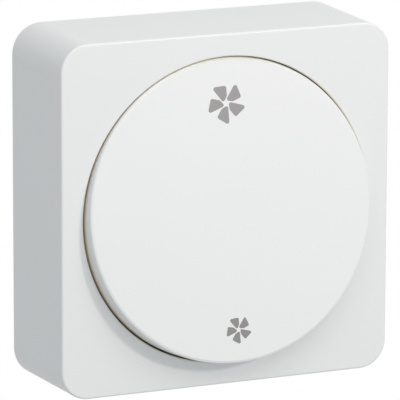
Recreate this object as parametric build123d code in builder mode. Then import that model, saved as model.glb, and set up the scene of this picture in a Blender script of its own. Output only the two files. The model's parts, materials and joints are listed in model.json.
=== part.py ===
from build123d import *
import os
from math import cos, radians, sin, tan

# Surface-mounted two-speed fan switch: a square box on the wall with one large round rocker.
# The origin is the centre of the back on the wall, with +X right, +Z up and +Y into the wall.
# Heights are counted from the wall towards the front, along -Y.
# The rocker rests with its top pressed in, which closes the fast contact.

os.makedirs("parts", exist_ok=True)

# Driving dimensions in millimetres and degrees

# Cover
BOX_SIDE = 75.0             # outside, at the wall
BOX_DEPTH = 24.8            # wall to front face
BOX_DRAFT = 1.2             # lean of each side
BOX_CORNER_R = 6.4          # at the wall
BOX_EDGE_R = 0.45           # rounding of the front edge
COVER_WALL = 2.0
FRAME_MARGIN = 4.77         # front frame between the opening and the box edge, at its narrowest
RIM_BREAK = 0.2             # chamfer of the opening's rim

# Rocker
ROCKER_GAP = 0.45           # between the rocker's wall and the opening
ROCKER_TILT = 6.0           # each way from the middle
PIVOT_SINK = 1.5            # pivot behind the front face of the box
FACE_RISE = 4.2             # rocker face in front of the pivot
FACE_WALL = 1.3
SKIRT_WALL = 1.6
SKIRT_CLEAR = 0.3           # skirt to the heads of the plate screws, at full tilt
ROCKER_EDGE = 0.55          # rounding of the face's edge, as two chamfers
RIB_W = 1.6
RIB_SPACING = 16.0
RIB_L = 40.0
CLIP_W = 8.0
CLIP_T = 1.2
CLIP_BARB = 0.7
CLIP_PLAY = 0.1

# Rocker carrier, spring and plunger
CARRIER_W = 21.2
CARRIER_L = 26.0
CARRIER_RISE = 1.4          # underside of the carrier's plate in front of the pivot
CARRIER_T = 1.0
HUB_W = 5.2
HUB_DROP = 2.4              # hub behind the pivot
TRUNNION_R = 1.3
RUN_FIT = 0.05              # radial clearance of turning and sliding fits
STEM_W = 6.4
PLUNGER_R = 1.6
PLUNGER_GUIDE = 4.6         # length held in the stem
PLUNGER_SHOW = 1.45         # stem's mouth to the shoulder of the nose
NOSE_FLAT_R = 0.5
NOSE_CLEAR = 0.15           # nose to lever, at mid-throw
BORE_END = 1.2              # end of the spring's bore in front of the pivot
SPRING_WIRE = 0.4           # square wire
SPRING_SLACK = 0.1          # spring to bore
SPRING_TURNS = 5
SPRING_RUNS = 12            # straight runs in a turn

# Base plate
BASE_T = 2.4
BASE_GAP = 0.25             # base plate to cover
SLOT_SPACING = 60.0         # wall screws
SLOT_W = 4.2
SLOT_L = 7.0
ENTRY_W = 16.0              # cable entries
ENTRY_L = 8.0
ENTRY_X = 14.5
ENTRY_EDGE = 2.4            # entry to the edge of the plate
BOSS_W = 6.6
HOOK_X = 26.0
HOOK_W = 6.0
HOOK_T = 1.3
HOOK_BARB = 0.7
HOOK_BARB_L = 1.5
HOOK_CLEAR = 0.15
HOOK_PLAY = 0.05
LEDGE_H = 6.9               # front of the cover's ledges
LEDGE_T = 1.4
LEDGE = 0.9

# Support plate and screws
PLATE_T = 1.0
PLATE_W = 56.0
PLATE_L = 60.0
PLATE_CORNER = 4.0
PLATE_SCREW_SPACING = 50.0
PLATE_SCREW_R = 1.5
PLATE_SCREW_L = 8.0
PLATE_HEAD_R = 2.75
PLATE_HEAD_T = 2.0
SCREW_CLEAR = 0.25          # screw shank in a clearance hole
THREAD_FIT = 0.02           # screw shank in its thread
DRIVE_W = 0.7
DRIVE_DEPTH = 0.8

# Insert body
INSERT_GAP = 0.5            # insert body to base plate
INSERT_W = 40.0
INSERT_L = 42.0
INSERT_CORNER = 2.0
FLOOR_T = 2.8
CHAMBER_W = 12.0
CHAMBER_CLEAR = 2.5         # chamber beyond each end of the lever
SWING_CLEAR = 0.6           # lever's raised end to the support plate

# Bearing frame
FRAME_W = 30.0
FRAME_L = 24.0
FRAME_T = 1.6
FRAME_CORNER = 2.0
CHEEK_GAP = 0.4             # carrier to cheek
CHEEK_T = 2.5
CHEEK_FOOT = 8.8
EYE_WALL = 1.2              # round a trunnion
WINDOW_L = 21.0             # opening for the stem in the plate and the frame
LEG_W = 4.0
LEG_T = 1.4
LEG_Z = 5.6
LEG_CLEAR = 0.2
LEG_DEPTH = 5.7             # legs behind the support plate
LEG_BARB = 0.8
LEG_BARB_L = 1.6

# Contact lever
LEVER_TILT = 8.0            # each way from the middle
LEVER_HALF = 12.5
LEVER_W = 5.0
LEVER_CORNER = 1.0
LEVER_WEB_RISE = 0.9        # web in front of the pin's axis
LEVER_WEB_T = 0.8
LEVER_RISE = 2.5            # pin's axis in front of the strips
FLANGE_T = 0.6
FLANGE_DROP = 1.6           # flange behind the pin's axis
FLANGE_FOOT = 6.0
PIN_R = 0.8
CONTACT_ARM = 10.5          # pin to the moving tips
CONTACT_W = 3.0
CONTACT_L = 3.0
CONTACT_T = 0.9
CONTACT_GAP = 0.13          # closed tips

# Strips and terminals
STRIP_T = 0.8
STRIP_W = 4.0
STRIP_CLEAR = 0.2
STRIP_REACH = 2.4           # throw strips past the middle
LUG_GAP = 0.6               # lever to lug
LUG_W = 4.0
LUG_TOP = 1.6               # lug in front of the pin's axis
TERM_X = 13.0
TERM_Z = 16.0
CAGE_W = 6.4
CAGE_L = 5.0
CAGE_H = 6.6
CAGE_WALL = 0.8
CAGE_CLEAR = 0.4
CLAMP_T = 0.8
CLAMP_CLEAR = 0.2
WIRE_SPACE = 2.3
WIRE_W = 4.4
TERM_SCREW_R = 1.5
TERM_SCREW_RISE = 1.2       # screw in front of the cage
ACCESS_W = 6.0              # driver windows in the support plate

# Derived heights, from the wall outwards
insert_back = BASE_T + INSERT_GAP
strip_back = insert_back + FLOOR_T
strip_front = strip_back + STRIP_T
lever_h = strip_front + LEVER_RISE
web_front = LEVER_WEB_RISE + LEVER_WEB_T
lever_lift = LEVER_HALF * sin(radians(LEVER_TILT))
plate_back = lever_h + web_front + lever_lift + SWING_CLEAR
plate_front = plate_back + PLATE_T
frame_front = plate_front + FRAME_T
head_front = plate_front + PLATE_HEAD_T
pivot_h = BOX_DEPTH - PIVOT_SINK

# Derived sizes of the box and the rocker
lean = tan(radians(BOX_DRAFT))
front_side = BOX_SIDE - 2 * BOX_DEPTH * lean
opening_r = front_side / 2 - FRAME_MARGIN
rocker_r = opening_r - ROCKER_GAP
rocker_dip = rocker_r * sin(radians(ROCKER_TILT))
skirt_drop = (pivot_h - head_front - SKIRT_CLEAR - rocker_dip) / cos(radians(ROCKER_TILT))
face_back = FACE_RISE - FACE_WALL
edge_mid = ROCKER_EDGE * (1 - cos(radians(45)))
carrier_front = CARRIER_RISE + CARRIER_T
clip_in = CARRIER_L / 2 + CLIP_PLAY

# Derived places along the plunger, counted from the rocker's pivot towards the wall
nose_center = pivot_h - lever_h - web_front - NOSE_CLEAR - PLUNGER_R
stem_end = nose_center - PLUNGER_SHOW
spring_end = stem_end - PLUNGER_GUIDE
bore_r = PLUNGER_R + RUN_FIT
spring_r = bore_r - SPRING_SLACK - SPRING_WIRE / 2

# Derived places of the lever, the strips and the terminals
contact_z = CONTACT_ARM * cos(radians(LEVER_TILT))
tip_low = lever_h - (CONTACT_ARM + CONTACT_L / 2) * sin(radians(LEVER_TILT))
fixed_tip_t = tip_low - (CONTACT_T - LEVER_WEB_RISE) - CONTACT_GAP - strip_front
chamber_l = 2 * (LEVER_HALF + CHAMBER_CLEAR)
lug_in = LEVER_W / 2 + LUG_GAP
lug_out = lug_in + STRIP_T
tail_end = TERM_Z + CAGE_L / 2 + CAGE_CLEAR - STRIP_CLEAR
cage_back = strip_back - CAGE_WALL
cage_front = cage_back + CAGE_H
clamp_back = strip_front + WIRE_SPACE
clamp_front = clamp_back + CLAMP_T
cheek_in = CARRIER_W / 2 + CHEEK_GAP
cheek_out = cheek_in + CHEEK_T
eye_r = TRUNNION_R + RUN_FIT + EYE_WALL
leg_in = CHAMBER_W / 2 + LEG_CLEAR
leg_out = leg_in + LEG_T
leg_end = plate_back - LEG_DEPTH

TERMINALS = [(-TERM_X, -TERM_Z), (-TERM_X, TERM_Z), (TERM_X, -TERM_Z)]
PLATE_SCREWS = [(0, -PLATE_SCREW_SPACING / 2), (0, PLATE_SCREW_SPACING / 2)]

# Side view plane: its x is up, its y is the height from the wall, its normal is +X
SIDE = Plane(origin=(0, 0, 0), x_dir=(0, 0, 1), z_dir=(1, 0, 0))


def level(height):
    """Plane parallel to the wall at a height, facing the front, with x right and y up."""
    return Plane.XZ.offset(height)


def tilted(height, angle):
    """Front-facing plane and side plane on an axis along X, with the top leaning in by the angle."""
    origin = (0, -height, 0)
    up = (0, sin(radians(angle)), cos(radians(angle)))
    out = (0, -cos(radians(angle)), sin(radians(angle)))
    return Plane(origin, (1, 0, 0), out), Plane(origin, up, (1, 0, 0))


ROCKER_PLANE, ROCKER_SIDE = tilted(pivot_h, ROCKER_TILT)
LEVER_PLANE, LEVER_SIDE = tilted(lever_h, -LEVER_TILT)
ROCKER_AXIS = Axis(ROCKER_PLANE.origin, ROCKER_PLANE.z_dir)


def inner_half(height):
    """Half of the cover's inside width at a height."""
    return BOX_SIDE / 2 - COVER_WALL - height * lean


def throw_strip_plan(side, grow=0.0):
    """L-shaped plan of the fast strip, side -1, or the slow strip, side +1."""
    left = -TERM_X - STRIP_W / 2
    tail_start = contact_z - STRIP_W / 2
    with Locations(((left + STRIP_REACH) / 2, side * contact_z)):
        Rectangle(STRIP_REACH - left + 2 * grow, STRIP_W + 2 * grow)
    with Locations((-TERM_X, side * (tail_start + tail_end) / 2)):
        Rectangle(STRIP_W + 2 * grow, tail_end - tail_start + 2 * grow)


def common_strip_plan(grow=0.0):
    """L-shaped plan of the common strip, from its left lug to its terminal."""
    right = TERM_X + STRIP_W / 2
    half = LUG_W / 2 + STRIP_T
    with Locations(((right - lug_out) / 2, 0)):
        Rectangle(right + lug_out + 2 * grow, 2 * half + 2 * grow)
    with Locations((TERM_X, (half - tail_end) / 2)):
        Rectangle(STRIP_W + 2 * grow, half + tail_end + 2 * grow)


def eye_plan(axis_h, eye, foot_w, foot_h, foot_t, hole_r):
    """Side view of an upright that tapers from its foot to a round eye."""
    with Locations((0, axis_h)):
        Circle(eye)
    with Locations((0, foot_h + foot_t / 2)):
        Rectangle(foot_w, foot_t)
    make_hull()
    with Locations((0, axis_h)):
        Circle(hole_r, mode=Mode.SUBTRACT)


def ear_plan(axis_h, top, foot_w, foot_h, foot_t, hole_r):
    """Side view of a bent-up ear that tapers from its foot to a flat top round a pin hole."""
    with Locations((0, axis_h + top / 2)):
        Rectangle(2 * abs(top), abs(top))
    with Locations((0, foot_h + foot_t / 2)):
        Rectangle(foot_w, foot_t)
    make_hull()
    with Locations((0, axis_h)):
        Circle(hole_r, mode=Mode.SUBTRACT)


def slotted_screws(places, seat, head_r, head_t, shank_r, shank_l):
    """Slotted round-head screws with their heads on a seat height."""
    with BuildPart() as screws:
        with BuildSketch(level(seat)):
            with Locations(*places):
                Circle(head_r)
        extrude(amount=head_t)
        with BuildSketch(level(seat)):
            with Locations(*places):
                Circle(shank_r)
        extrude(amount=-shank_l)
        with BuildSketch(level(seat + head_t)):
            with Locations(*places):
                Rectangle(2 * head_r, DRIVE_W)
        extrude(amount=-DRIVE_DEPTH, mode=Mode.SUBTRACT)
    return screws.part


# Cover: drafted shell with a round opening and inner ledges for the base's hooks
with BuildPart() as cover:
    with BuildSketch(level(0)):
        RectangleRounded(BOX_SIDE, BOX_SIDE, BOX_CORNER_R)
    extrude(amount=BOX_DEPTH, taper=BOX_DRAFT)
    fillet(cover.faces().sort_by(Axis.Y)[0].edges(), BOX_EDGE_R)
    with BuildSketch(level(0)):
        Rectangle(2 * inner_half(0), 2 * inner_half(0))
        chamfer(vertices(), BOX_CORNER_R - COVER_WALL)
    extrude(amount=BOX_DEPTH - COVER_WALL, taper=BOX_DRAFT, mode=Mode.SUBTRACT)
    with BuildSketch(level(BOX_DEPTH)):
        Circle(opening_r)
    extrude(amount=-COVER_WALL, mode=Mode.SUBTRACT)
    rim = cover.edges().filter_by(GeomType.CIRCLE).group_by(Axis.Y)[0]
    chamfer(rim.sort_by(SortBy.RADIUS)[-1], RIM_BREAK)
    ledge_in = inner_half(LEDGE_H) - LEDGE
    ledge_out = inner_half(LEDGE_H) + COVER_WALL / 2
    with BuildSketch(level(LEDGE_H - LEDGE_T)):
        with GridLocations(2 * HOOK_X, ledge_in + ledge_out, 2, 2):
            Rectangle(HOOK_W + 2 * HOOK_T, ledge_out - ledge_in)
    extrude(amount=LEDGE_T)
cover.part.label = "cover"
export_step(cover.part, "parts/cover.step")

# Base plate: wall-screw slots, cable entries, bosses for the support plate and snap hooks for the cover
base_half = inner_half(BASE_T) - BASE_GAP
entry_z = base_half - ENTRY_EDGE - ENTRY_L / 2
with BuildPart() as base_plate:
    with BuildSketch(level(0)):
        Rectangle(2 * base_half, 2 * base_half)
        chamfer(vertices(), BOX_CORNER_R - COVER_WALL)
        with GridLocations(SLOT_SPACING, 0, 2, 1):
            SlotOverall(SLOT_L, SLOT_W, mode=Mode.SUBTRACT)
        with Locations((-ENTRY_X, -entry_z), (ENTRY_X, entry_z)):
            Rectangle(ENTRY_W, ENTRY_L, mode=Mode.SUBTRACT)
    extrude(amount=BASE_T)
    with BuildSketch(level(BASE_T)):
        with Locations(*PLATE_SCREWS):
            Rectangle(BOSS_W, BOSS_W)
            Circle(PLATE_SCREW_R + THREAD_FIT, mode=Mode.SUBTRACT)
    extrude(amount=plate_back - BASE_T)
    hook_face = inner_half(LEDGE_H) - LEDGE - HOOK_CLEAR
    hook_catch = LEDGE_H + HOOK_PLAY
    hook_front = hook_catch + HOOK_BARB_L
    for x in (-HOOK_X, HOOK_X):
        for side in (-1, 1):
            with BuildSketch(SIDE.offset(x - HOOK_W / 2)):
                with BuildLine():
                    Polyline(
                        (side * (hook_face - HOOK_T), BASE_T),
                        (side * hook_face, BASE_T),
                        (side * hook_face, hook_catch),
                        (side * (hook_face + HOOK_BARB), hook_catch),
                        (side * hook_face, hook_front),
                        (side * (hook_face - HOOK_T), hook_front),
                        close=True,
                    )
                make_face()
            extrude(amount=HOOK_W)
base_plate.part.label = "base_plate"
export_step(base_plate.part, "parts/base_plate.step")

# Support plate: stamped steel, with a window for the stem and driver holes over the terminals
with BuildPart() as support_plate:
    with BuildSketch(level(plate_back)):
        Rectangle(PLATE_W, PLATE_L)
        chamfer(vertices(), PLATE_CORNER)
        Rectangle(2 * (leg_out + LEG_CLEAR), WINDOW_L, mode=Mode.SUBTRACT)
        with GridLocations(2 * TERM_X, 2 * TERM_Z, 2, 2):
            Rectangle(ACCESS_W, ACCESS_W, mode=Mode.SUBTRACT)
        with Locations(*PLATE_SCREWS):
            Circle(PLATE_SCREW_R + SCREW_CLEAR, mode=Mode.SUBTRACT)
    extrude(amount=PLATE_T)
support_plate.part.label = "support_plate"
export_step(support_plate.part, "parts/support_plate.step")

with BuildPart() as plate_screws:
    add(slotted_screws(PLATE_SCREWS, plate_front, PLATE_HEAD_R, PLATE_HEAD_T, PLATE_SCREW_R, PLATE_SCREW_L))
plate_screws.part.label = "plate_screws"
export_step(plate_screws.part, "parts/plate_screws.step")

# Insert body: switching chamber, grooves for the strips, terminal pockets and wire entries
wall_l = (INSERT_L - 2 * TERM_Z - CAGE_L) / 2
with BuildPart() as insert_body:
    with BuildSketch(level(insert_back)):
        Rectangle(INSERT_W, INSERT_L)
        chamfer(vertices(), INSERT_CORNER)
    extrude(amount=plate_back - insert_back)
    with BuildSketch(level(strip_back)):
        Rectangle(CHAMBER_W, chamber_l)
        throw_strip_plan(-1, STRIP_CLEAR)
        throw_strip_plan(1, STRIP_CLEAR)
        common_strip_plan(STRIP_CLEAR)
    extrude(amount=plate_back - strip_back, mode=Mode.SUBTRACT)
    with BuildSketch(level(cage_back)):
        with Locations(*TERMINALS):
            Rectangle(CAGE_W + 2 * CAGE_CLEAR, CAGE_L + 2 * CAGE_CLEAR)
    extrude(amount=plate_back - cage_back, mode=Mode.SUBTRACT)
    with BuildSketch(level(strip_front)):
        for x, z in TERMINALS:
            with Locations((x, z * (1 + (CAGE_L + wall_l) / 2 / TERM_Z))):
                Rectangle(WIRE_W, wall_l)
    extrude(amount=WIRE_SPACE + CLAMP_T, mode=Mode.SUBTRACT)
    with BuildSketch(level(leg_end - LEG_CLEAR)):
        with GridLocations(leg_in + leg_out, 2 * LEG_Z, 2, 2):
            Rectangle(LEG_T + 2 * LEG_CLEAR, LEG_W + 2 * LEG_CLEAR)
    extrude(amount=plate_back - leg_end + LEG_CLEAR, mode=Mode.SUBTRACT)
    with BuildSketch(level(leg_end - LEG_CLEAR)):
        with GridLocations(2 * leg_out + LEG_BARB, 2 * LEG_Z, 2, 2):
            Rectangle(LEG_BARB + 2 * LEG_CLEAR, LEG_W + 2 * LEG_CLEAR)
    extrude(amount=LEG_BARB_L + LEG_CLEAR, mode=Mode.SUBTRACT)
insert_body.part.label = "insert_body"
export_step(insert_body.part, "parts/insert_body.step")

# Bearing frame: flange on the support plate, two cheeks with eyes for the trunnions and four legs that
# snap into the insert body through the plate's window
with BuildPart() as bearing_frame:
    with BuildSketch(SIDE.offset(cheek_in)):
        eye_plan(pivot_h, eye_r, CHEEK_FOOT, plate_front, FRAME_T, TRUNNION_R + RUN_FIT)
    extrude(amount=CHEEK_T)
    for z in (-LEG_Z, LEG_Z):
        with BuildSketch(Plane.XY.offset(z - LEG_W / 2)):
            with BuildLine():
                Polyline(
                    (leg_in, -frame_front),
                    (leg_out, -frame_front),
                    (leg_out, -leg_end - LEG_BARB_L + HOOK_PLAY),
                    (leg_out + LEG_BARB, -leg_end - LEG_BARB_L + HOOK_PLAY),
                    (leg_out, -leg_end),
                    (leg_in, -leg_end),
                    close=True,
                )
            make_face()
        extrude(amount=LEG_W)
    mirror(about=Plane.YZ)
    with BuildSketch(level(plate_front)):
        Rectangle(FRAME_W, FRAME_L)
        chamfer(vertices(), FRAME_CORNER)
        Rectangle(2 * leg_in, WINDOW_L, mode=Mode.SUBTRACT)
    extrude(amount=FRAME_T)
bearing_frame.part.label = "bearing_frame"
export_step(bearing_frame.part, "parts/bearing_frame.step")

# Rocker: turned cap with a skirt, ribs that seat on the carrier and two clips that hold it
with BuildPart() as rocker:
    with BuildSketch(ROCKER_SIDE):
        with BuildLine():
            Polyline(
                (0, FACE_RISE),
                (rocker_r - ROCKER_EDGE, FACE_RISE),
                (rocker_r - edge_mid, FACE_RISE - edge_mid),
                (rocker_r, FACE_RISE - ROCKER_EDGE),
                (rocker_r, -skirt_drop),
                (rocker_r - SKIRT_WALL, -skirt_drop),
                (rocker_r - SKIRT_WALL, face_back),
                (0, face_back),
                close=True,
            )
        make_face()
    revolve(axis=ROCKER_AXIS)
    with BuildSketch(ROCKER_PLANE.offset(carrier_front)):
        with GridLocations(0, RIB_SPACING, 1, 2):
            Rectangle(RIB_L, RIB_W)
    extrude(amount=face_back - carrier_front)
    clip_catch = CARRIER_RISE - CLIP_PLAY
    for side in (-1, 1):
        with BuildSketch(ROCKER_SIDE.offset(-CLIP_W / 2)):
            with BuildLine():
                Polyline(
                    (side * clip_in, face_back),
                    (side * (clip_in + CLIP_T), face_back),
                    (side * (clip_in + CLIP_T), clip_catch - CLIP_T),
                    (side * clip_in, clip_catch - CLIP_T),
                    (side * (clip_in - CLIP_BARB), clip_catch),
                    (side * clip_in, clip_catch),
                    close=True,
                )
            make_face()
        extrude(amount=CLIP_W)
rocker.part.label = "rocker"
export_step(rocker.part, "parts/rocker.step")

# Rocker carrier: plate and hub with trunnions at both ends and a hollow stem for the plunger
with BuildPart() as rocker_carrier:
    with BuildSketch(ROCKER_SIDE):
        with Locations((0, (CARRIER_RISE - HUB_DROP) / 2)):
            Rectangle(HUB_W, CARRIER_RISE + HUB_DROP)
        with Locations((0, CARRIER_RISE + CARRIER_T / 2)):
            Rectangle(CARRIER_L, CARRIER_T)
    extrude(amount=CARRIER_W / 2, both=True)
    with BuildSketch(ROCKER_SIDE):
        Circle(TRUNNION_R)
    extrude(amount=cheek_out, both=True)
    with BuildSketch(ROCKER_PLANE.offset(-stem_end)):
        Rectangle(STEM_W, STEM_W)
    extrude(amount=stem_end + CARRIER_RISE)
    with BuildSketch(ROCKER_PLANE.offset(-stem_end)):
        Circle(bore_r)
    extrude(amount=stem_end + BORE_END, mode=Mode.SUBTRACT)
rocker_carrier.part.label = "rocker_carrier"
export_step(rocker_carrier.part, "parts/rocker_carrier.step")

# Plunger spring: square-wire coil between the bore's end and the plunger, in short straight runs
spring_h = BORE_END + spring_end - SPRING_WIRE
run_turn = 360 / SPRING_RUNS
with BuildPart() as plunger_spring:
    with BuildLine(ROCKER_PLANE.offset(SPRING_WIRE / 2 - spring_end)) as coil:
        Polyline(
            [
                (
                    spring_r * cos(radians(run_turn * run)),
                    spring_r * sin(radians(run_turn * run)),
                    spring_h * run / SPRING_RUNS / SPRING_TURNS,
                )
                for run in range(SPRING_RUNS * SPRING_TURNS + 1)
            ]
        )
    with BuildSketch(Plane(origin=coil.line @ 0, z_dir=coil.line % 0)):
        Rectangle(SPRING_WIRE, SPRING_WIRE)
    sweep(path=coil.line, transition=Transition.RIGHT)
plunger_spring.part.label = "plunger_spring"
export_step(plunger_spring.part, "parts/plunger_spring.step")

# Plunger: turned pin with a blunt cone that rides on the lever
with BuildPart() as plunger:
    with BuildSketch(ROCKER_SIDE):
        with BuildLine():
            Polyline(
                (0, -spring_end),
                (PLUNGER_R, -spring_end),
                (PLUNGER_R, -nose_center),
                (NOSE_FLAT_R, -nose_center - PLUNGER_R),
                (0, -nose_center - PLUNGER_R),
                close=True,
            )
        make_face()
    revolve(axis=ROCKER_AXIS)
plunger.part.label = "plunger"
export_step(plunger.part, "parts/plunger.step")

# Contact lever: brass web with two flanges that hang it on the pin
with BuildPart() as contact_lever:
    with BuildSketch(LEVER_PLANE.offset(LEVER_WEB_RISE)):
        Rectangle(LEVER_W, 2 * LEVER_HALF)
        chamfer(vertices(), LEVER_CORNER)
    extrude(amount=LEVER_WEB_T)
    with BuildSketch(LEVER_SIDE.offset(LEVER_W / 2 - FLANGE_T)):
        ear_plan(0, -FLANGE_DROP, FLANGE_FOOT, LEVER_WEB_RISE, LEVER_WEB_T, PIN_R + RUN_FIT)
    extrude(amount=FLANGE_T)
    mirror(about=Plane.YZ)
contact_lever.part.label = "contact_lever"
export_step(contact_lever.part, "parts/contact_lever.step")

with BuildPart() as moving_contacts:
    with BuildSketch(LEVER_PLANE.offset(LEVER_WEB_RISE)):
        with GridLocations(0, 2 * CONTACT_ARM, 1, 2):
            Rectangle(CONTACT_W, CONTACT_L)
    extrude(amount=-CONTACT_T)
moving_contacts.part.label = "moving_contacts"
export_step(moving_contacts.part, "parts/moving_contacts.step")

with BuildPart() as lever_pin:
    with BuildSketch(SIDE):
        with Locations((0, lever_h)):
            Circle(PIN_R)
    extrude(amount=lug_out, both=True)
lever_pin.part.label = "lever_pin"
export_step(lever_pin.part, "parts/lever_pin.step")

# Common strip: two lugs bent up beside the lever, the right one lanced out of the strip
lug_l = lever_h + LUG_TOP - strip_front
with BuildPart() as common_strip:
    with BuildSketch(level(strip_back)):
        common_strip_plan()
        with Locations((lug_out + lug_l / 2, 0)):
            Rectangle(lug_l, LUG_W, mode=Mode.SUBTRACT)
    extrude(amount=STRIP_T)
    for lug_x in (-lug_out, lug_in):
        with BuildSketch(SIDE.offset(lug_x)):
            ear_plan(lever_h, LUG_TOP, LUG_W, strip_back, STRIP_T, PIN_R + THREAD_FIT)
        extrude(amount=STRIP_T)
common_strip.part.label = "common_strip"
export_step(common_strip.part, "parts/common_strip.step")

with BuildPart() as fast_strip:
    with BuildSketch(level(strip_back)):
        throw_strip_plan(-1)
    extrude(amount=STRIP_T)
fast_strip.part.label = "fast_strip"
export_step(fast_strip.part, "parts/fast_strip.step")

with BuildPart() as slow_strip:
    with BuildSketch(level(strip_back)):
        throw_strip_plan(1)
    extrude(amount=STRIP_T)
slow_strip.part.label = "slow_strip"
export_step(slow_strip.part, "parts/slow_strip.step")

with BuildPart() as fixed_contacts:
    with BuildSketch(level(strip_front)):
        with GridLocations(0, 2 * contact_z, 1, 2):
            Rectangle(CONTACT_W, CONTACT_L)
    extrude(amount=fixed_tip_t)
fixed_contacts.part.label = "fixed_contacts"
export_step(fixed_contacts.part, "parts/fixed_contacts.step")

# Terminals: cage round the strip's tail, pressure plate over the wire and the headless screw that presses it
with BuildPart() as terminal_cages:
    with BuildSketch(level(cage_back)):
        with Locations(*TERMINALS):
            Rectangle(CAGE_W, CAGE_L)
    extrude(amount=CAGE_H)
    with BuildSketch(level(strip_back)):
        with Locations(*TERMINALS):
            Rectangle(CAGE_W - 2 * CAGE_WALL, CAGE_L)
    extrude(amount=CAGE_H - 2 * CAGE_WALL, mode=Mode.SUBTRACT)
    with BuildSketch(level(cage_front)):
        with Locations(*TERMINALS):
            Circle(TERM_SCREW_R + THREAD_FIT)
    extrude(amount=-CAGE_WALL, mode=Mode.SUBTRACT)
terminal_cages.part.label = "terminal_cages"
export_step(terminal_cages.part, "parts/terminal_cages.step")

with BuildPart() as clamp_plates:
    with BuildSketch(level(clamp_back)):
        with Locations(*TERMINALS):
            Rectangle(CAGE_W - 2 * CAGE_WALL - 2 * CLAMP_CLEAR, CAGE_L)
    extrude(amount=CLAMP_T)
clamp_plates.part.label = "clamp_plates"
export_step(clamp_plates.part, "parts/clamp_plates.step")

with BuildPart() as terminal_screws:
    with BuildSketch(level(clamp_front)):
        with Locations(*TERMINALS):
            Circle(TERM_SCREW_R)
    extrude(amount=cage_front + TERM_SCREW_RISE - clamp_front)
    with BuildSketch(level(cage_front + TERM_SCREW_RISE)):
        with Locations(*TERMINALS):
            Rectangle(2 * TERM_SCREW_R, DRIVE_W)
    extrude(amount=-DRIVE_DEPTH, mode=Mode.SUBTRACT)
terminal_screws.part.label = "terminal_screws"
export_step(terminal_screws.part, "parts/terminal_screws.step")
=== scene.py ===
"""Looks of a surface-mounted fan switch: a white box cover with a round two-way rocker.

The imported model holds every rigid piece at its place. This script gives each piece its finish,
prints the two fan marks on the rocker, and sets the studio and the camera. Lengths are in metres.
"""

import json
import logging
import math
from dataclasses import dataclass, replace
from enum import Enum
from typing import Protocol

import bmesh
import bpy
from mathutils import Matrix, Vector


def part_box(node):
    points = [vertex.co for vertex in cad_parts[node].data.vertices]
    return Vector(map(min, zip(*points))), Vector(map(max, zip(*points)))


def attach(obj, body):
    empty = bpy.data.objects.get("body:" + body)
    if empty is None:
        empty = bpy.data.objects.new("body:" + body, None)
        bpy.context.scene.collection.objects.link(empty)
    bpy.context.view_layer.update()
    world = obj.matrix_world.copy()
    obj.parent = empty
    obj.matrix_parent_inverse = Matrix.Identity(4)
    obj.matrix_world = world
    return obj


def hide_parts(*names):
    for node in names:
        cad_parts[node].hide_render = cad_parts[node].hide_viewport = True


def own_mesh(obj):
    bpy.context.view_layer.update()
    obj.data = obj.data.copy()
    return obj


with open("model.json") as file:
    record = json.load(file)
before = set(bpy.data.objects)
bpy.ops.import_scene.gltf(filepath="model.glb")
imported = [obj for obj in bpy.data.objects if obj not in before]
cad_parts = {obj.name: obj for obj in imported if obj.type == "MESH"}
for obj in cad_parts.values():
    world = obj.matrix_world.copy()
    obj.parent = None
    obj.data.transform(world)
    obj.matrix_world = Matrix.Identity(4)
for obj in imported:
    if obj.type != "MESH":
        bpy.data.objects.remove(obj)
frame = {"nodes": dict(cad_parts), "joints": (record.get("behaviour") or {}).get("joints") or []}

Colour = tuple[float, float, float, float]
Socket = bpy.types.NodeSocket

MM = 0.001
COVER = "cover"
WHITE: Colour = (1.0, 1.0, 1.0, 1.0)
PHOTO_SIDE = 400
SENSOR_WIDTH = 36.0

SRGB_KNEE = 0.04045
SRGB_SLOPE = 12.92
SRGB_OFFSET = 0.055
SRGB_POWER = 2.4

log = logging.getLogger("fan_switch")


def joint(name: str) -> dict:
    """Finds one of the part's joints by its name."""
    return next(row for row in frame["joints"] if row["name"] == name)


def srgb(red: int, green: int, blue: int) -> Colour:
    """Turns a display colour into the linear colour that a shader takes.

    Args:
        red: Red of the display colour, 0 to 255.
        green: Green of the display colour, 0 to 255.
        blue: Blue of the display colour, 0 to 255.

    Returns:
        The linear colour with full alpha.
    """
    linear = []
    for part in (red, green, blue):
        share = part / 255
        if share <= SRGB_KNEE:
            linear.append(share / SRGB_SLOPE)
        else:
            linear.append(((share + SRGB_OFFSET) / (1 + SRGB_OFFSET)) ** SRGB_POWER)
    return (linear[0], linear[1], linear[2], 1.0)


class Slot(Enum):
    """The record's material slots."""

    WHITE_SHELL = "white_shell"
    GREY_MOULDING = "grey_moulding"
    STEEL = "steel"
    BRASS = "brass"
    CONTACT_SILVER = "contact_silver"
    PRINT = "print"


class Body(Enum):
    """The record's bodies that new pieces ride on."""

    ROCKER = "rocker"


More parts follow.
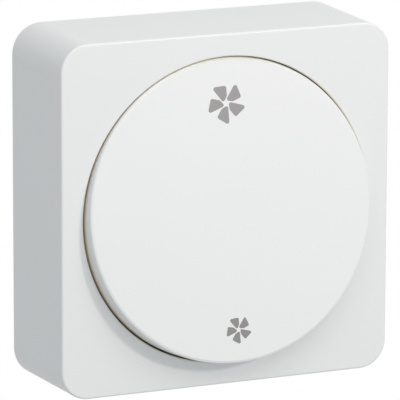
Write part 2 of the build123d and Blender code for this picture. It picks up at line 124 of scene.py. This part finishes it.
class ShaderSheet:
    """A new material's node tree, with short calls to add and join its nodes."""

    def __init__(self, name: str) -> None:
        """Makes the material with its principled shader.

        Args:
            name: Name of the material.
        """
        self.material = bpy.data.materials.new(name)
        self.material.use_nodes = True
        self.tree = self.material.node_tree
        self.shader = self.tree.nodes["Principled BSDF"]
        self.place = self.tree.nodes.new("ShaderNodeTexCoord").outputs["Object"]

    def add(self, kind: str) -> bpy.types.Node:
        """Adds a node of one kind and returns it."""
        return self.tree.nodes.new("ShaderNode" + kind)

    def join(self, source: Socket, target: Socket) -> None:
        """Joins an output to an input."""
        self.tree.links.new(source, target)

    def stretched(self, stretch: tuple[float, float, float]) -> Socket:
        """Scales the object's coordinates, so that a pattern runs along one axis.

        Args:
            stretch: Scale along each axis.

        Returns:
            The scaled coordinates.
        """
        mapping = self.add("Mapping")
        mapping.inputs["Scale"].default_value = stretch
        self.join(self.place, mapping.inputs["Vector"])
        return mapping.outputs["Vector"]

    def noise(self, size: float, detail: float, place: Socket | None = None) -> Socket:
        """Adds a noise pattern.

        Args:
            size: Size of one grain.
            detail: Number of finer layers.
            place: Coordinates to use instead of the object's own.

        Returns:
            The pattern's strength, 0 to 1.
        """
        node = self.add("TexNoise")
        node.inputs["Scale"].default_value = 1 / size
        node.inputs["Detail"].default_value = detail
        self.join(place or self.place, node.inputs["Vector"])
        return node.outputs["Fac"]

    def along(self, start: Vector, direction: Vector) -> Socket:
        """Measures how far a point of the surface lies along a direction.

        Args:
            start: Where the distance is zero.
            direction: The direction, of unit length.

        Returns:
            The distance.
        """
        away = self.add("VectorMath")
        away.operation = "SUBTRACT"
        away.inputs[1].default_value = start
        self.join(self.place, away.inputs[0])
        share = self.add("VectorMath")
        share.operation = "DOT_PRODUCT"
        share.inputs[1].default_value = direction
        self.join(away.outputs["Vector"], share.inputs[0])
        return share.outputs["Value"]

    def length(self, vector: Socket) -> Socket:
        """Measures a vector.

        Args:
            vector: The vector.

        Returns:
            Its length.
        """
        node = self.add("VectorMath")
        node.operation = "LENGTH"
        self.join(vector, node.inputs[0])
        return node.outputs["Value"]

    def math(self, operation: str, first: Socket, second: float | Socket) -> Socket:
        """Calculates with one or two values of the surface.

        Args:
            operation: Blender's name of the calculation.
            first: First value.
            second: Second value.

        Returns:
            The result.
        """
        node = self.add("Math")
        node.operation = operation
        self.join(first, node.inputs[0])
        if isinstance(second, float):
            node.inputs[1].default_value = second
        else:
            self.join(second, node.inputs[1])
        return node.outputs["Value"]

    def edge(self, value: Socket, empty: float, full: float) -> Socket:
        """Makes a mask that rises from 0 to 1 between two values.

        Args:
            value: The measured value.
            empty: Value at which the mask is 0.
            full: Value at which the mask is 1.

        Returns:
            The mask.
        """
        node = self.add("MapRange")
        node.inputs["From Min"].default_value = empty
        node.inputs["From Max"].default_value = full
        self.join(value, node.inputs["Value"])
        return node.outputs["Result"]

    def span(self, strength: Socket, low: float, high: float) -> Socket:
        """Spreads a pattern between two values.

        Args:
            strength: Pattern from 0 to 1.
            low: Value at 0.
            high: Value at 1.

        Returns:
            The spread value.
        """
        node = self.add("MapRange")
        node.inputs["To Min"].default_value = low
        node.inputs["To Max"].default_value = high
        self.join(strength, node.inputs["Value"])
        return node.outputs["Result"]

    def blend(self, strength: Socket, first: Colour | Socket, second: Colour) -> Socket:
        """Blends two colours by a pattern.

        Args:
            strength: Pattern from 0 to 1.
            first: Colour at 0, or a pattern of colours.
            second: Colour at 1.

        Returns:
            The blended colour.
        """
        node = self.add("Mix")
        node.data_type = "RGBA"
        colours = [socket for socket in node.inputs if socket.type == "RGBA"]
        if isinstance(first, tuple):
            colours[0].default_value = first
        else:
            self.join(first, colours[0])
        colours[1].default_value = second
        self.join(strength, node.inputs["Factor"])
        return next(socket for socket in node.outputs if socket.type == "RGBA")

    def roughen(self, pattern: Socket, middle: float, spread: float) -> None:
        """Varies the roughness by a pattern.

        Args:
            pattern: Pattern from 0 to 1.
            middle: Middle value of the roughness.
            spread: How far it goes to either side.
        """
        self.join(self.span(pattern, middle - spread, middle + spread), self.shader.inputs["Roughness"])

    def emboss(self, height: Socket, depth: float) -> None:
        """Gives the surface a fine relief.

        Args:
            height: Pattern from 0 to 1.
            depth: Height of the relief.
        """
        node = self.add("Bump")
        node.inputs["Strength"].default_value = 1.0
        node.inputs["Distance"].default_value = depth
        self.join(height, node.inputs["Height"])
        self.join(node.outputs["Normal"], self.shader.inputs["Normal"])


@dataclass(frozen=True)
class GapShade:
    """Painted light and shade on the walls of the gap: painted warm light at its front, and painted brown
    shade deep inside.
    """

    # pale is painted warm light at the gap's front, and brown is painted shade deep inside the gap.
    pale: Colour = srgb(247, 240, 214)
    painted_light_from: float = 0.3 * MM
    painted_shade: Colour = srgb(96, 68, 38)
    painted_shade_start: float = 0.7 * MM
    painted_shade_from: float = 2.6 * MM

    def over(self, sheet: ShaderSheet, colour: Socket, depth: Socket, wall: Socket | None = None) -> Socket:
        """Paints warm light and brown shade over a colour by the depth in the gap.

        Args:
            sheet: The node tree to add to.
            colour: The colour to shade.
            depth: The depth behind the gap's front, negative outside it.
            wall: A mask of the surface that belongs to the gap, if depth doesn't tell.

        Returns:
            The colour with the painted light and shade.
        """
        pale = sheet.edge(depth, 0.0, self.painted_light_from)
        painted_shade = sheet.edge(depth, self.painted_shade_start, self.painted_shade_from)
        if wall:
            pale = sheet.math("MULTIPLY", pale, wall)
            painted_shade = sheet.math("MULTIPLY", painted_shade, wall)
        return sheet.blend(painted_shade, sheet.blend(pale, colour, self.pale), self.painted_shade)


class PaintedShading(Protocol):
    """A place on a piece whose colour carries painted light and shade."""

    def over(self, sheet: ShaderSheet, colour: Socket) -> Socket:
        """Paints the place's light and shade over the piece's colour."""


@dataclass(frozen=True)
class BorePaintedShading:
    """The wall of a round opening along Y, with painted warm light at its front and painted shade deep
    inside.
    """

    radius: float
    front: float
    # Painted warm light at the front of the bore, and painted brown shade deeper in.
    shade: GapShade = GapShade(pale=srgb(250, 229, 172), painted_shade_start=1.2 * MM, painted_shade_from=3.2 * MM)
    full_within: float = 0.03 * MM
    none_beyond: float = 0.06 * MM

    def over(self, sheet: ShaderSheet, colour: Socket) -> Socket:
        """Paints light and shade on the surface that lies no further from the axis than the opening's wall.

        Args:
            sheet: The node tree to add to.
            colour: The piece's colour.

        Returns:
            The colour with the painted light and shade.
        """
        across_axis, inward = (1.0, 0.0, 1.0), Vector((0, 1, 0))
        reach = sheet.length(sheet.stretched(across_axis))
        wall = sheet.edge(reach, self.radius + self.none_beyond, self.radius + self.full_within)
        depth = sheet.along(inward * self.front, inward)
        return self.shade.over(sheet, colour, depth, wall)


@dataclass(frozen=True)
class SkirtPaintedShading:
    """Painted light and shade on the part of the rocker's wall that stays inside the opening at both ends
    of its travel.
    """

    face: Matrix
    depth: float
    slope: float
    shade: GapShade = GapShade()

    def over(self, sheet: ShaderSheet, colour: Socket) -> Socket:
        """Paints light and shade on the surface that lies deep enough behind the face, and deeper further
        from the pivot.

        Args:
            sheet: The node tree to add to.
            colour: The piece's colour.

        Returns:
            The colour with the painted light and shade.
        """
        start = self.face.translation
        up, out = self.face.col[1].to_3d(), self.face.col[2].to_3d()
        height = sheet.math("ABSOLUTE", sheet.along(start, up), 0.0)
        limit = sheet.math("ADD", sheet.math("MULTIPLY", height, self.slope), self.depth)
        return self.shade.over(sheet, colour, sheet.math("SUBTRACT", sheet.along(start, -out), limit))


@dataclass(frozen=True)
class MouldedPlastic:
    """Injection-moulded plastic with the fine eroded grain of its mould."""

    name: str
    colour: Colour
    flow_colour: Colour
    roughness: float
    roughness_spread: float
    grain: float
    grain_depth: float
    flow: float
    grain_layers: float = 3.0
    flow_layers: float = 2.0
    # Painted light and shade, if the piece has a gap.
    painted_shading: PaintedShading | None = None

    def material(self) -> bpy.types.Material:
        """Makes the finish.

        Returns:
            The material.
        """
        sheet = ShaderSheet(self.name)
        colour = sheet.blend(sheet.noise(self.flow, self.flow_layers), self.colour, self.flow_colour)
        # Paints the gap's light and shade over the colour.
        if self.painted_shading:
            colour = self.painted_shading.over(sheet, colour)
        sheet.join(colour, sheet.shader.inputs["Base Color"])
        grain = sheet.noise(self.grain, self.grain_layers)
        sheet.roughen(grain, self.roughness, self.roughness_spread)
        sheet.emboss(grain, self.grain_depth)
        return sheet.material


@dataclass(frozen=True)
class WorkedMetal:
    """Rolled or drawn metal with fine marks along its length."""

    name: str
    colour: Colour
    tarnish: Colour
    roughness: float
    roughness_spread: float
    stretch: tuple[float, float, float]
    line: float
    line_depth: float
    stain: float
    line_layers: float = 2.0
    stain_layers: float = 4.0

    def material(self) -> bpy.types.Material:
        """Makes the finish.

        Returns:
            The material.
        """
        sheet = ShaderSheet(self.name)
        sheet.shader.inputs["Metallic"].default_value = 1.0
        stain = sheet.noise(self.stain, self.stain_layers)
        sheet.join(sheet.blend(stain, self.colour, self.tarnish), sheet.shader.inputs["Base Color"])
        lines = sheet.noise(self.line, self.line_layers, sheet.stretched(self.stretch))
        sheet.roughen(lines, self.roughness, self.roughness_spread)
        sheet.emboss(lines, self.line_depth)
        return sheet.material


FINISHES: dict[Slot, MouldedPlastic | WorkedMetal] = {
    Slot.WHITE_SHELL: MouldedPlastic(
        name="white_shell",
        colour=srgb(235, 237, 236),
        flow_colour=srgb(233, 235, 234),
        roughness=0.42,
        roughness_spread=0.05,
        grain=0.22 * MM,
        grain_depth=0.0012 * MM,
        flow=30 * MM,
    ),
    Slot.GREY_MOULDING: MouldedPlastic(
        name="grey_moulding",
        colour=srgb(176, 178, 177),
        flow_colour=srgb(168, 170, 169),
        roughness=0.55,
        roughness_spread=0.08,
        grain=0.3 * MM,
        grain_depth=0.003 * MM,
        flow=14 * MM,
    ),
    Slot.STEEL: WorkedMetal(
        name="zinc_plated_steel",
        colour=srgb(196, 198, 196),
        tarnish=srgb(176, 176, 170),
        roughness=0.36,
        roughness_spread=0.1,
        stretch=(0.08, 1.0, 1.0),
        line=0.3 * MM,
        line_depth=0.002 * MM,
        stain=4 * MM,
    ),
    Slot.BRASS: WorkedMetal(
        name="rolled_brass",
        colour=srgb(218, 186, 112),
        tarnish=srgb(196, 158, 86),
        roughness=0.3,
        roughness_spread=0.08,
        stretch=(1.0, 1.0, 0.08),
        line=0.25 * MM,
        line_depth=0.0015 * MM,
        stain=3 * MM,
    ),
    Slot.CONTACT_SILVER: WorkedMetal(
        name="contact_silver",
        colour=srgb(232, 230, 224),
        tarnish=srgb(214, 210, 200),
        roughness=0.2,
        roughness_spread=0.06,
        stretch=(1.0, 1.0, 1.0),
        line=0.2 * MM,
        line_depth=0.001 * MM,
        stain=1 * MM,
    ),
    Slot.PRINT: MouldedPlastic(
        name="grey_ink",
        colour=srgb(150, 148, 148),
        flow_colour=srgb(145, 143, 143),
        roughness=0.55,
        roughness_spread=0.06,
        grain=0.15 * MM,
        grain_depth=0.001 * MM,
        flow=2 * MM,
    ),
}


class Paintbox:
    """The finishes of the switch, each made when a piece first needs it."""

    def __init__(self) -> None:
        """Starts with no finish made."""
        self.materials: dict[Slot, bpy.types.Material] = {}

    def dress(self, piece: bpy.types.Object, slot: Slot, **changes: PaintedShading | Colour) -> None:
        """Puts a finish on a piece.

        Args:
            piece: The piece to dress.
            slot: The slot of the finish.
            changes: Fields of the finish that differ on this piece.
        """
        plain = FINISHES[slot]
        if changes:
            material = replace(plain, name=f"{plain.name}_{piece.name}", **changes).material()
        else:
            if slot not in self.materials:
                self.materials[slot] = plain.material()
            material = self.materials[slot]
        if not piece.material_slots:
            piece.data.materials.append(material)
        for place in piece.material_slots:
            place.material = material


@dataclass
class Casing:
    """The cover and the base plate that it snaps on."""

    cover: str = COVER
    base: str = "base_plate"

    def opening_radius(self) -> float:
        """Measures the round opening, the part of the cover that comes closest to its axis.

        Returns:
            The opening's radius.
        """
        vertices = frame["nodes"][self.cover].data.vertices
        return min(math.hypot(vertex.co.x, vertex.co.z) for vertex in vertices)

    def dress(self, paint: Paintbox) -> None:
        """Finishes the shell in white, with painted light and shade on the opening's wall, and the base in
        grey.

        Args:
            paint: The finishes.
        """
        # The opening's wall gets painted warm light at its front and painted shade deep inside.
        painted_shading = BorePaintedShading(self.opening_radius(), front=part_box(self.cover)[0].y)
        paint.dress(frame["nodes"][self.cover], Slot.WHITE_SHELL, painted_shading=painted_shading)
        paint.dress(frame["nodes"][self.base], Slot.GREY_MOULDING)
        log.info("%s in white, %s in grey", self.cover, self.base)


@dataclass
class Mechanism:
    """The switch insert under the rocker, by finish."""

    mouldings: tuple[str, ...] = ("insert_body", "bearing_frame", "rocker_carrier", "plunger")
    steel: tuple[str, ...] = (
        "support_plate", "plate_screws", "terminal_screws", "lever_pin", "plunger_spring",
    )
    brass: tuple[str, ...] = (
        "common_strip", "fast_strip", "slow_strip", "terminal_cages", "clamp_plates", "contact_lever",
    )
    silver: tuple[str, ...] = ("fixed_contacts", "moving_contacts")

    def dress(self, paint: Paintbox) -> None:
        """Finishes every piece of the insert.

        Args:
            paint: The finishes.
        """
        groups = {
            Slot.GREY_MOULDING: self.mouldings,
            Slot.STEEL: self.steel,
            Slot.BRASS: self.brass,
            Slot.CONTACT_SILVER: self.silver,
        }
        for slot, names in groups.items():
            for name in names:
                paint.dress(frame["nodes"][name], slot)
                log.info("%s in %s", name, slot.value)


@dataclass
class CoilSpring:
    """The plunger's spring, of round wire with closed ends. Its mesh keeps its rest length and doesn't
    shorten as the plunger slides.
    """

    name: str = "coil_spring"
    node: str = "plunger_spring"
    slide: str = "plunger_slide"
    hinge: str = "rocker_tilt"
    wire: float = 0.4 * MM
    turns: int = 5
    closed_pitch: float = 1.05
    steps: int = 28
    sides: int = 8

    def __post_init__(self) -> None:
        """Reads the spring's axis, travel and ends from the joints and the node's own mesh."""
        slide = joint(self.slide)
        self.axis = Vector(slide["axis"]).normalized()
        self.travel = slide["range_m"][1]
        self.middle = Vector(joint(self.hinge)["pos_m"])
        away = [vertex.co - self.middle for vertex in frame["nodes"][self.node].data.vertices]
        along = [point.dot(self.axis) for point in away]
        self.free_end, self.fixed_end = min(along), max(along)
        outside = max((point - self.axis * reach).length for point, reach in zip(away, along))
        self.radius = outside - self.wire / 2

    def rise(self, turn: float) -> float:
        """Finds how far the wire has climbed, with a closed turn at each end.

        Args:
            turn: Turns from the free end.

        Returns:
            The climb of the wire's centre along the axis.
        """
        closed = self.wire * self.closed_pitch
        total = self.fixed_end - self.free_end - self.wire
        if turn < 1:
            return closed * turn
        if turn > self.turns - 1:
            return total - closed * (self.turns - turn)
        return closed + (total - 2 * closed) * (turn - 1) / (self.turns - 2)

    def mesh(self) -> bpy.types.Mesh:
        """Winds the wire.

        Returns:
            The wire's mesh.
        """
        across = Vector((1, 0, 0))
        other = self.axis.cross(across)
        coil = bmesh.new()
        rings = []
        for step in range(self.steps * self.turns + 1):
            turn = step / self.steps
            angle = 2 * math.pi * turn
            outward = across * math.cos(angle) + other * math.sin(angle)
            height = self.free_end + self.wire / 2 + self.rise(turn)
            centre = self.middle + outward * self.radius + self.axis * height
            ring = []
            for side in range(self.sides):
                bend = 2 * math.pi * side / self.sides
                offset = outward * math.cos(bend) + self.axis * math.sin(bend)
                ring.append(coil.verts.new(centre + offset * self.wire / 2))
            rings.append(ring)
        for first, second in zip(rings, rings[1:]):
            for side in range(self.sides):
                after = (side + 1) % self.sides
                coil.faces.new((first[side], first[after], second[after], second[side])).smooth = True
        coil.faces.new(rings[0])
        coil.faces.new(list(reversed(rings[-1])))
        bmesh.ops.recalc_face_normals(coil, faces=coil.faces)
        data = bpy.data.meshes.new(self.name)
        coil.to_mesh(data)
        coil.free()
        return data

    def dress(self, paint: Paintbox) -> None:
        """Puts the spring in its bore.

        Args:
            paint: The finishes.
        """
        piece = bpy.data.objects.new(self.name, self.mesh())
        bpy.context.scene.collection.objects.link(piece)
        paint.dress(piece, Slot.STEEL)
        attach(piece, Body.ROCKER.value)
        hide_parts(self.node)
        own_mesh(piece)


@dataclass(frozen=True)
class FanMark:
    """A printed fan: a wheel of five swept blades.

    The blade's corners are shares of the radius, with angles from its leading tip, clockwise.
    """

    name: str
    radius: float
    up: float
    across: float
    colour: Colour
    flow_colour: Colour
    ink: float = 0.02 * MM
    blades: int = 5
    first_tip: float = 133.0
    trailing_reach: float = 0.775
    trailing_angle: float = 44.5
    shoulder_reach: float = 0.345
    shoulder_angle: float = 51.0
    inner_reach: float = 0.12
    inner_angle: float = -40.0
    corner_rounding: float = 0.095
    shoulder_rounding: float = 0.2
    arc_steps: int = 6

    def corners(self, blade: int) -> list[tuple[Vector, float]]:
        """Gives one blade's corners and their rounding.

        Args:
            blade: Number of the blade, from the first one, clockwise.

        Returns:
            Each corner in the face's plane with the radius of its rounding.
        """
        tip = self.first_tip - blade * 360 / self.blades
        shape = (
            (1.0, 0.0, self.corner_rounding),
            (self.trailing_reach, self.trailing_angle, self.corner_rounding),
            (self.shoulder_reach, self.shoulder_angle, self.shoulder_rounding),
            (self.inner_reach, self.inner_angle, self.corner_rounding),
        )
        corners = []
        for reach, angle, rounding in shape:
            turn = math.radians(tip - angle)
            point = Vector((math.cos(turn), math.sin(turn))) * reach * self.radius
            corners.append((point, rounding * self.radius))
        return corners

    def outline(self, blade: int) -> list[Vector]:
        """Rounds the corners of one blade.

        Args:
            blade: Number of the blade.

        Returns:
            The points round the blade.
        """
        corners = self.corners(blade)
        points = []
        for number, (corner, rounding) in enumerate(corners):
            before = (corners[number - 1][0] - corner).normalized()
            after = (corners[(number + 1) % len(corners)][0] - corner).normalized()
            half = before.angle(after) / 2
            middle = corner + (before + after).normalized() * rounding / math.sin(half)
            first = corner + before * rounding / math.tan(half) - middle
            last = corner + after * rounding / math.tan(half) - middle
            sweep = first.angle_signed(last)
            for step in range(self.arc_steps + 1):
                turn = Matrix.Rotation(-sweep * step / self.arc_steps, 2)
                points.append(middle + turn @ first)
        return points

    def build(self, to_face: Matrix) -> bpy.types.Object:
        """Builds the mark as a thin layer of ink on the rocker's face.

        Args:
            to_face: Places the face's plane in the row frame, with x across, y up and z outward.

        Returns:
            The mark.
        """
        mesh = bmesh.new()
        for blade in range(self.blades):
            ring = [Vector((point.x + self.across, point.y + self.up)) for point in self.outline(blade)]
            low = [mesh.verts.new((point.x, point.y, 0)) for point in ring]
            high = [mesh.verts.new((point.x, point.y, self.ink)) for point in ring]
            mesh.faces.new(high)
            mesh.faces.new(list(reversed(low)))
            for number in range(len(ring)):
                after = (number + 1) % len(ring)
                mesh.faces.new((low[number], low[after], high[after], high[number]))
        bmesh.ops.recalc_face_normals(mesh, faces=mesh.faces)
        data = bpy.data.meshes.new(self.name)
        mesh.transform(to_face)
        mesh.to_mesh(data)
        mesh.free()
        piece = bpy.data.objects.new(self.name, data)
        bpy.context.scene.collection.objects.link(piece)
        return piece


@dataclass
class Rocker:
    """The round rocker with its two printed fans."""

    node: str = "rocker"
    hinge: str = "rocker_tilt"
    fast_mark: FanMark = FanMark(
        name="fan_mark_fast", radius=4.66 * MM, up=22.24 * MM, across=-0.5 * MM,
        colour=srgb(158, 156, 156), flow_colour=srgb(152, 150, 150),
    )
    slow_mark: FanMark = FanMark(
        name="fan_mark_slow", radius=3.14 * MM, up=-24.8 * MM, across=0.3 * MM,
        colour=srgb(143, 142, 141), flow_colour=srgb(138, 137, 136),
        trailing_reach=0.81, shoulder_reach=0.37, inner_reach=0.1,
    )

    def __post_init__(self) -> None:
        """Reads the tilt and the pivot of the rocker's joint."""
        hinge = joint(self.hinge)
        self.tilt = math.radians(hinge["range_deg"][1] - hinge["range_deg"][0]) / 2
        self.pivot = Vector(hinge["pos_m"])

    def face_frame(self) -> Matrix:
        """Finds the plane of the tilted face from the joint and the rocker's own mesh.

        Returns:
            The matrix from the face's plane to the row frame.
        """
        across = Vector((1, 0, 0))
        up = Vector((0, math.sin(self.tilt), math.cos(self.tilt)))
        out = across.cross(up)
        vertices = frame["nodes"][self.node].data.vertices
        rise = max((vertex.co - self.pivot).dot(out) for vertex in vertices)
        axes = Matrix((across, up, out)).transposed().to_4x4()
        return Matrix.Translation(self.pivot + out * rise) @ axes

    def skirt_painted_shading(self, to_face: Matrix) -> SkirtPaintedShading:
        """Finds how far behind the face the wall never leaves the opening.

        Args:
            to_face: The matrix from the face's plane to the row frame.

        Returns:
            The painted light and shade of that part of the wall.
        """
        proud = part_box(COVER)[0].y - to_face.translation.y
        return SkirtPaintedShading(to_face, proud / math.cos(self.tilt), math.tan(self.tilt))

    def dress(self, paint: Paintbox) -> None:
        """Finishes the cap, with painted light and shade on its wall in the gap, and prints the marks on
        it.

        Args:
            paint: The finishes.
        """
        to_face = self.face_frame()
        # The rocker's wall inside the gap gets painted light and shade.
        paint.dress(frame["nodes"][self.node], Slot.WHITE_SHELL, painted_shading=self.skirt_painted_shading(to_face))
        for mark in (self.fast_mark, self.slow_mark):
            piece = mark.build(to_face)
            paint.dress(piece, Slot.PRINT, colour=mark.colour, flow_colour=mark.flow_colour)
            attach(piece, Body.ROCKER.value)
            log.info("%s, %.1f mm across", mark.name, 2 * mark.radius / MM)


@dataclass(frozen=True)
class Lamp:
    """A flat lamp that faces the switch, with its power in watts."""

    name: str
    place: Vector
    width: float
    height: float
    power: float
    colour: tuple[float, float, float] = (1.0, 0.965, 0.932)

    def hang(self) -> None:
        """Hangs the lamp at its place, out of the camera's sight."""
        light = bpy.data.lights.new(self.name, "AREA")
        light.shape = "RECTANGLE"
        light.size = self.width
        light.size_y = self.height
        light.energy = self.power
        light.color = self.colour
        lamp = bpy.data.objects.new(self.name, light)
        lamp.location = self.place
        lamp.rotation_mode = "QUATERNION"
        lamp.rotation_quaternion = (-self.place).to_track_quat("-Z", "Y")
        lamp.visible_camera = False
        bpy.context.scene.collection.objects.link(lamp)


@dataclass
class Studio:
    """A pale floor far below, white surroundings, three soft lamps and a small key lamp.

    The key lamp gives the rocker's shadow its edge.
    """

    floor_drop: float = 2.0
    floor_side: float = 120.0
    floor_white: float = 0.995
    floor_colour: Colour = srgb(238, 238, 238)
    ambient_colour: Colour = (0.972, 1.0, 1.038, 1.0)
    ambient: float = 0.535
    lamps: tuple[Lamp, ...] = (
        Lamp("key_lamp", Vector((0.21, -0.46, 0.18)), width=0.05, height=0.05, power=0.53),
        Lamp("high_lamp", Vector((0.08, -0.35, 0.42)), width=0.4, height=0.4, power=0.91),
        Lamp("fill_lamp", Vector((-0.05, -0.6, 0.05)), width=0.5, height=0.5, power=0.28),
        Lamp("left_lamp", Vector((-0.3, -0.35, 0.35)), width=0.3, height=0.3, power=0.26),
    )

    def seen_ray(self, tree: bpy.types.NodeTree) -> Socket:
        """Tells the rays that show the background from the rays that light the object.

        Args:
            tree: The node tree to add to.

        Returns:
            1 for camera, glossy and transmission rays, and 0 for the others.
        """
        path = tree.nodes.new("ShaderNodeLightPath")
        total = path.outputs["Is Camera Ray"]
        for name in ("Is Glossy Ray", "Is Transmission Ray"):
            larger = tree.nodes.new("ShaderNodeMath")
            larger.operation = "MAXIMUM"
            tree.links.new(total, larger.inputs[0])
            tree.links.new(path.outputs[name], larger.inputs[1])
            total = larger.outputs["Value"]
        return total

    def surroundings(self) -> None:
        """Lights the object evenly, and shows white to the camera and to gloss."""
        world = bpy.data.worlds.new("studio")
        world.use_nodes = True
        bpy.context.scene.world = world
        tree = world.node_tree
        lit = tree.nodes["Background"]
        lit.inputs["Color"].default_value = self.ambient_colour
        lit.inputs["Strength"].default_value = self.ambient
        shown = tree.nodes.new("ShaderNodeBackground")
        shown.inputs["Color"].default_value = WHITE
        mix = tree.nodes.new("ShaderNodeMixShader")
        tree.links.new(self.seen_ray(tree), mix.inputs["Fac"])
        tree.links.new(lit.outputs["Background"], mix.inputs[1])
        tree.links.new(shown.outputs["Background"], mix.inputs[2])
        tree.links.new(mix.outputs["Shader"], tree.nodes["World Output"].inputs["Surface"])

    def floor(self) -> None:
        """Lays the pale floor, which the camera sees as almost white."""
        bpy.ops.mesh.primitive_plane_add(size=self.floor_side, location=(0, 0, -self.floor_drop))
        floor = bpy.context.object
        floor.name = "floor"
        material = bpy.data.materials.new("pale_floor")
        material.use_nodes = True
        tree = material.node_tree
        pale = tree.nodes["Principled BSDF"]
        pale.inputs["Base Color"].default_value = self.floor_colour
        pale.inputs["Roughness"].default_value = 1.0
        white = tree.nodes.new("ShaderNodeEmission")
        white.inputs["Color"].default_value = WHITE
        share = tree.nodes.new("ShaderNodeMath")
        share.operation = "MULTIPLY"
        share.inputs[1].default_value = self.floor_white
        tree.links.new(self.seen_ray(tree), share.inputs[0])
        mix = tree.nodes.new("ShaderNodeMixShader")
        tree.links.new(share.outputs["Value"], mix.inputs["Fac"])
        tree.links.new(pale.outputs["BSDF"], mix.inputs[1])
        tree.links.new(white.outputs["Emission"], mix.inputs[2])
        tree.links.new(mix.outputs["Shader"], tree.nodes["Material Output"].inputs["Surface"])
        floor.data.materials.append(material)

    def build(self) -> None:
        """Sets up the view transform, the surroundings, the floor and the lamps."""
        bpy.context.scene.view_settings.view_transform = "Standard"
        self.surroundings()
        self.floor()
        for lamp in self.lamps:
            lamp.hang()
        log.info("studio set")


@dataclass
class Viewpoint:
    """The photograph's camera: a long lens, above and to the left of the switch."""

    azimuth: float = -24.93
    elevation: float = 12.6
    distance: float = 0.9
    focal_pixels: float = 4367.3
    roll: float = 0.19
    centre_pixel: tuple[float, float] = (227.21, 209.92)
    nearest: float = 0.01
    farthest: float = 500.0

    def build(self) -> None:
        """Places the camera so that the cover's front centre lands on its pixel."""
        turn, rise = math.radians(self.azimuth), math.radians(self.elevation)
        back = Vector(
            (math.sin(turn) * math.cos(rise), -math.cos(turn) * math.cos(rise), math.sin(rise))
        )
        lowest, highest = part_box(COVER)
        front_centre = Vector((0, lowest.y, (lowest.z + highest.z) / 2))
        place = front_centre + back * self.distance
        facing = (-back).to_track_quat("-Z", "Y")
        right = facing @ Vector((1, 0, 0))
        up = facing @ Vector((0, 1, 0))
        pixel = self.distance / self.focal_pixels
        aim = front_centre - right * (self.centre_pixel[0] - PHOTO_SIDE / 2) * pixel
        aim = aim + up * (self.centre_pixel[1] - PHOTO_SIDE / 2) * pixel
        look = (aim - place).to_track_quat("-Z", "Y").to_matrix().to_4x4()
        data = bpy.data.cameras.new("photo_camera")
        data.sensor_width = SENSOR_WIDTH
        data.lens = self.focal_pixels / PHOTO_SIDE * SENSOR_WIDTH
        data.clip_start = self.nearest
        data.clip_end = self.farthest
        camera = bpy.data.objects.new("photo_camera", data)
        roll = Matrix.Rotation(math.radians(self.roll), 4, "Z")
        camera.matrix_world = Matrix.Translation(place) @ look @ roll
        bpy.context.scene.collection.objects.link(camera)
        bpy.context.scene.camera = camera
        log.info("camera set")


def main() -> None:
    """Dresses the switch and sets up the picture."""
    logging.basicConfig(level=logging.INFO, format="%(name)s: %(message)s")
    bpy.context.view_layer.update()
    paint = Paintbox()
    Casing().dress(paint)
    Mechanism().dress(paint)
    CoilSpring().dress(paint)
    Rocker().dress(paint)
    Studio().build()
    Viewpoint().build()


if __name__ == "__main__":
    main()
